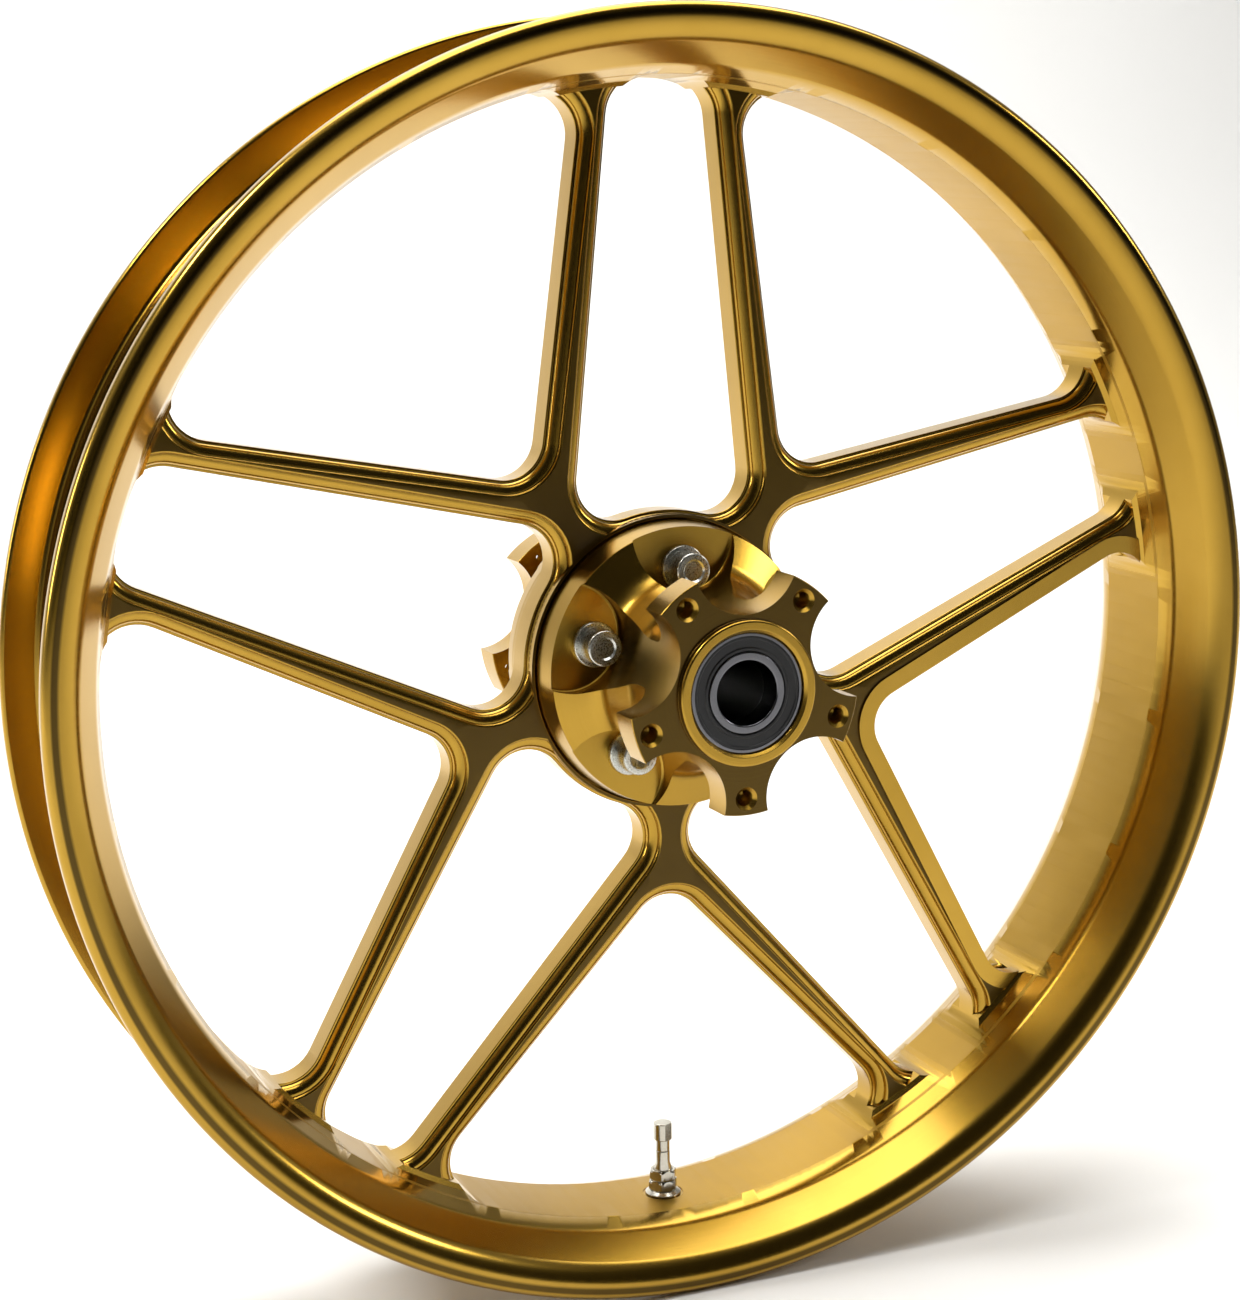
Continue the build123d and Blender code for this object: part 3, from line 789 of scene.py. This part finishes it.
class WHEEL_OT_bolts(bpy.types.Operator):
    """Make the hub's socket-head bolts and their washers."""

    bl_idname = "wheel.bolts"
    bl_label = "Hub bolts"

    def execute(self, context):
        copies = np.arange(PAIRS) * PITCH
        head = rounded(
            [
                (0, 20.0, 0),
                (4.75, 20.0, 0.8),
                (4.75, -25.0, 0.2),
                (7.15, -25.0, 0.3),
                (7.15, -34.5, 0.9),
                (0, -34.5, 0),
            ],
            6,
        )
        bolt = turned(head, 96, "Y", (0, BOLT_PITCH))
        bolts = make_object("hub_bolts_surface", repeated(bolt, copies))
        socket = np.array([(0, -36.0), (5.0, -36.0), (5.0, -29.5), (0, -28.6)])
        sockets = faceted(socket, 7.9, 6, 96, (0, BOLT_PITCH), "Y", 0.3)
        cut(bolts, make_object("sockets", repeated(sockets, copies)))
        lead = np.array([(0, -35.5), (5.6, -35.5), (3.9, -33.8), (0, -33.8)])
        leads = repeated(turned(lead, 64, "Y", (0, BOLT_PITCH)), copies)
        cut(bolts, make_object("socket_leads", leads))
        smooth(bolts)
        finish_piece(bolts, "wheel", "zinc_steel", finish("zinc_steel"), "hub_bolts")
        washer = rounded(
            [(4.95, -23.0, 0), (9.0, -23.0, 0.2), (9.0, -25.0, 0.6), (4.95, -25.0, 0.2)], 5
        )
        rings = repeated(turned(washer, 96, "Y", (0, BOLT_PITCH)), copies)
        washers = make_object("hub_washers_surface", rings)
        smooth(washers)
        finish_piece(washers, "wheel", "zinc_steel", finish("zinc_steel"), "hub_bolt_washers")
        return {"FINISHED"}


class WHEEL_OT_bearings(bpy.types.Operator):
    """Make the races and lipped seals of both bearings and the spacer tube between them."""

    bl_idname = "wheel.bearings"
    bl_label = "Bearings"

    def execute(self, context):
        front, back = 6.0, -6.0
        outer = rounded(
            [
                (20.4, back + 1.5, 0),
                (21.9, back + 1.5, 0),
                (21.9, back, 0.1),
                (23.5, back, 0.7),
                (23.5, front, 0.7),
                (21.9, front, 0.1),
                (21.9, front - 1.5, 0),
                (20.4, front - 1.5, 0),
            ],
            6,
        )
        inner = rounded([(12.5, back, 0.7), (15.6, back, 0.3), (15.6, front, 0.3), (12.5, front, 0.7)], 6)
        seal = rounded(
            [
                (15.68, 4.5, 0),
                (21.88, 4.5, 0),
                (21.88, 5.75, 0.3),
                (20.9, 5.75, 0.2),
                (20.6, 5.35, 0.2),
                (17.6, 5.35, 0.2),
                (17.2, 5.75, 0.2),
                (16.3, 5.75, 0.2),
                (15.9, 5.1, 0.2),
                (15.68, 5.1, 0),
            ],
            5,
        )
        for side, sign in (("near", -1), ("far", 1)):
            middle = sign * BEARING_MIDDLE
            for name, profile, body, slot in (
                ("outer_race", outer, "wheel", "ground_steel"),
                ("inner_race", inner, "axle_sleeve", "ground_steel"),
            ):
                node = f"{side}_bearing_{name}"
                ring = make_object(f"{node}_surface", turned(profile + (0, middle), 160))
                smooth(ring)
                finish_piece(ring, body, slot, finish(slot), node)
            for name, face in (("outer", sign), ("inner", -sign)):
                node = f"{side}_bearing_{name}_seal"
                ring = make_object(f"{node}_surface", turned(seal * (1, face) + (0, middle), 160))
                smooth(ring)
                finish_piece(ring, "wheel", "seal_rubber", finish("seal_rubber"), node)
        tube = rounded([(12.7, -69.5, 0.3), (15.4, -69.5, 0.3), (15.4, 69.5, 0.3), (12.7, 69.5, 0.3)], 4)
        spacer = make_object("bearing_spacer_surface", turned(tube, 120))
        smooth(spacer)
        slot = "turned_aluminium"
        finish_piece(spacer, "axle_sleeve", slot, finish(slot), "bearing_spacer")
        return {"FINISHED"}


class WHEEL_OT_valve(bpy.types.Operator):
    """Make the tyre valve: stem, nuts, washer, grommet and cap."""

    bl_idname = "wheel.valve"
    bl_label = "Tyre valve"

    def execute(self, context):
        nickel = "valve_nickel"
        pitch = 0.8
        crest = np.arange(-211.2, -202.0, pitch)
        thread = np.stack(
            (np.tile((2.6, 2.25), len(crest)), (crest[:, None] + (0.0, pitch / 2)).ravel()), 1
        )
        stem_profile = np.concatenate(
            (
                [
                    (1.9, -239.0),
                    (6.2, -239.0),
                    (6.2, -236.4),
                    (4.0, -236.4),
                    (4.0, -219.7),
                    (3.0, -216.7),
                    (3.0, -211.7),
                ],
                thread,
                [(2.3, -201.5), (1.9, -201.5)],
            )
        )
        washer = rounded(
            [
                (4.05, -230.5, 0),
                (7.5, -230.5, 0.3),
                (7.5, -229.6, 0.4),
                (5.9, -228.5, 0.5),
                (4.05, -228.5, 0),
            ],
            5,
        )
        grommet = rounded(
            [(4.0, -236.4, 0), (6.4, -236.4, 0.4), (6.4, -234.2, 0.3), (4.0, -234.2, 0)], 5
        )
        pieces = (
            ("valve_stem", turned(stem_profile, 72, "Z"), nickel, "wheel"),
            ("valve_washer", turned(washer, 96, "Z"), nickel, "wheel"),
            ("valve_nut", self.nut(11.2, -228.5, -224.1), nickel, "wheel"),
            ("valve_locknut", self.nut(10.4, -224.1, -219.7), nickel, "wheel"),
            ("valve_grommet", turned(grommet, 72, "Z"), "seal_rubber", "wheel"),
            ("valve_cap", self.cap(), nickel, "cap"),
        )
        for node, shape, slot, body in pieces:
            piece = make_object(f"{node}_surface", shape)
            smooth(piece)
            finish_piece(piece, body, slot, finish(slot), node)
        return {"FINISHED"}

    def nut(self, flats, low, high):
        """Hexagonal nut with both faces chamfered to the flats."""
        corner = flats / 2 / cos(pi / 6)
        face = flats / 2 - 0.1
        profile = rounded(
            [
                (4.05, low, 0.3),
                (face, low, 0),
                (corner, low + 0.8, 0),
                (corner, high - 0.8, 0),
                (face, high, 0),
                (4.05, high, 0.3),
            ],
            5,
        )
        return faceted(profile, flats, 6, 144)

    def cap(self):
        """Core-key valve cap: a block with two broad flats and rounded ends over a slim turned skirt."""
        profile = rounded(
            [
                (0, -199.16, 0),
                (3.9, -199.16, 0.5),
                (3.9, -206.56, 0.4),
                (2.95, -206.56, 0.3),
                (2.95, -211.5, 0.4),
                (2.64, -211.5, 0.05),
                (2.64, -201.06, 0.1),
                (0, -201.06, 0),
            ],
            5,
        )
        return faceted(profile, 6.8, 2, 144, turn=VALVE_TURN)


class WHEEL_OT_inner_parts(bpy.types.Operator):
    """Give the enclosed balls, cages and valve core their finishes."""

    bl_idname = "wheel.inner_parts"
    bl_label = "Inner parts"

    def execute(self, context):
        slots = {
            "bearing_balls": "polished_steel",
            "bearing_cage": "cage_nylon",
            "core_body": "core_brass",
            "core_pin": "core_brass",
            "core_spring": "polished_steel",
            "core_seal": "seal_rubber",
            "cap_seal": "seal_rubber",
        }
        for node in context.scene.objects:
            for ending, slot in slots.items():
                if node.type == "MESH" and node.name.endswith(ending):
                    node.data.materials.clear()
                    node.data.materials.append(finish(slot))
        return {"FINISHED"}


def make_sweep(radius):
    """Floor that curves up into a wall behind the wheel.

    Its section is a straight floor, a quarter circle of the given radius in metres and a straight
    wall, and every point of the section is carried straight across.
    """
    turn = np.linspace(0, pi / 2, 24)
    start = 1.6
    depth = np.concatenate(([-4.0], start + radius * np.sin(turn), [start + radius]))
    height = np.concatenate(([0.0], radius * (1 - np.cos(turn)), [4.0])) + FLOOR_LEVEL
    across = np.array((-5.0, 5.0))
    points = np.stack(np.broadcast_arrays(across[None], depth[:, None], height[:, None]), axis=-1)
    rows = np.arange(len(depth) - 1) * 2
    faces = np.stack((rows, rows + 1, rows + 3, rows + 2), axis=1)
    mesh = bpy.data.meshes.new("floor")
    mesh.from_pydata(points.reshape(-1, 3).tolist(), [], faces.tolist())
    mesh.shade_smooth()
    floor = bpy.data.objects.new("floor", mesh)
    bpy.context.scene.collection.objects.link(floor)
    return floor


class WHEEL_OT_studio(bpy.types.Operator):
    """Make the pale floor, soft lights and camera."""

    bl_idname = "wheel.studio"
    bl_label = "Studio"

    def execute(self, context):
        look = context.scene.studio_look
        scene = context.scene
        floor = make_sweep(look.sweep_radius)
        material = bpy.data.materials.new("painted_floor")
        material.use_nodes = True
        shader = material.node_tree.nodes["Principled BSDF"]
        shader.inputs["Base Color"].default_value = look.floor_colour
        shader.inputs["Roughness"].default_value = 0.9
        floor.data.materials.append(material)

        world = bpy.data.worlds.new("studio")
        world.use_nodes = True
        tree = world.node_tree
        tree.nodes["Background"].inputs["Strength"].default_value = 1.0
        place = add(tree, "ShaderNodeTexCoord").outputs["Generated"]
        depth = add(tree, "ShaderNodeSeparateXYZ", links={"Vector": place}).outputs["Y"]
        spread = add(
            tree, "ShaderNodeMapRange", links={"Value": depth}, values={"From Min": -1.0, "From Max": 1.0}
        )
        sky = ramp(tree, spread.outputs[0], 0.2, 0.6, srgb("#2B2A27"), srgb("#A3A29F"))
        tree.links.new(sky, tree.nodes["Background"].inputs["Color"])
        scene.world = world

        for name, place, aim, width, power in (
            ("left_softbox", (-1.5, -0.1, 1.9), (0, 0, 0), 0.4, 28),
            ("side_softbox", (-2.2, 0.5, 0.5), (0, 0, 0), 0.5, 14),
            ("right_softbox", (2.0, -0.9, 0.9), (0, 0, 0), 0.4, 10),
            ("back_softbox", (0.3, 1.0, 2.4), (0, 1.9, -0.1), 2.4, 110),
        ):
            light = bpy.data.lights.new(name, "AREA")
            light.shape = "RECTANGLE"
            light.size = width
            light.size_y = width * 1.4
            light.energy = power
            lamp = bpy.data.objects.new(name, light)
            lamp.location = place
            lamp.rotation_euler = (Vector(aim) - Vector(place)).to_track_quat("-Z", "Y").to_euler()
            scene.collection.objects.link(lamp)

        camera = bpy.data.objects.new("camera", bpy.data.cameras.new("camera"))
        azimuth, elevation, roll = radians(-24.16), radians(10.74), radians(-0.45)
        back = Vector((sin(azimuth) * cos(elevation), -cos(azimuth) * cos(elevation), sin(elevation)))
        camera.location = back * look.distance
        camera.rotation_euler = (
            (-back).to_track_quat("-Z", "Y").to_matrix() @ Matrix.Rotation(roll, 3, "Z")
        ).to_euler()
        camera.data.lens = look.lens
        camera.data.sensor_width = 36
        camera.data.shift_x = -38.8 / 1300
        camera.data.shift_y = 7.2 / 1300
        camera.data.clip_start = 0.01
        scene.collection.objects.link(camera)
        scene.camera = camera
        scene.view_settings.view_transform = "Standard"
        return {"FINISHED"}


class WHEEL_PT_panel(bpy.types.Panel):
    """Buttons for each group of the wheel's pieces."""

    bl_label = "Forged Wheel"
    bl_idname = "WHEEL_PT_panel"
    bl_space_type = "VIEW_3D"
    bl_region_type = "UI"
    bl_category = "Wheel"

    def draw(self, context):
        for operator in OPERATORS:
            self.layout.operator(operator.bl_idname)


OPERATORS = (
    WHEEL_OT_studio,
    WHEEL_OT_forging,
    WHEEL_OT_hubs,
    WHEEL_OT_bolts,
    WHEEL_OT_bearings,
    WHEEL_OT_valve,
    WHEEL_OT_inner_parts,
)
CLASSES = (WheelSizes, StudioLook, *OPERATORS, WHEEL_PT_panel)


def register():
    """Register the classes and their settings."""
    for made in CLASSES:
        bpy.utils.register_class(made)
    bpy.types.Scene.wheel_sizes = bpy.props.PointerProperty(type=WheelSizes)
    bpy.types.Scene.studio_look = bpy.props.PointerProperty(type=StudioLook)


def unregister():
    """Remove the classes and their settings."""
    del bpy.types.Scene.studio_look
    del bpy.types.Scene.wheel_sizes
    for made in reversed(CLASSES):
        bpy.utils.unregister_class(made)


def main():
    """Make every piece and the studio."""
    register()
    for operator in OPERATORS:
        group, name = operator.bl_idname.split(".")
        getattr(getattr(bpy.ops, group), name)()


if __name__ == "__main__":
    main()
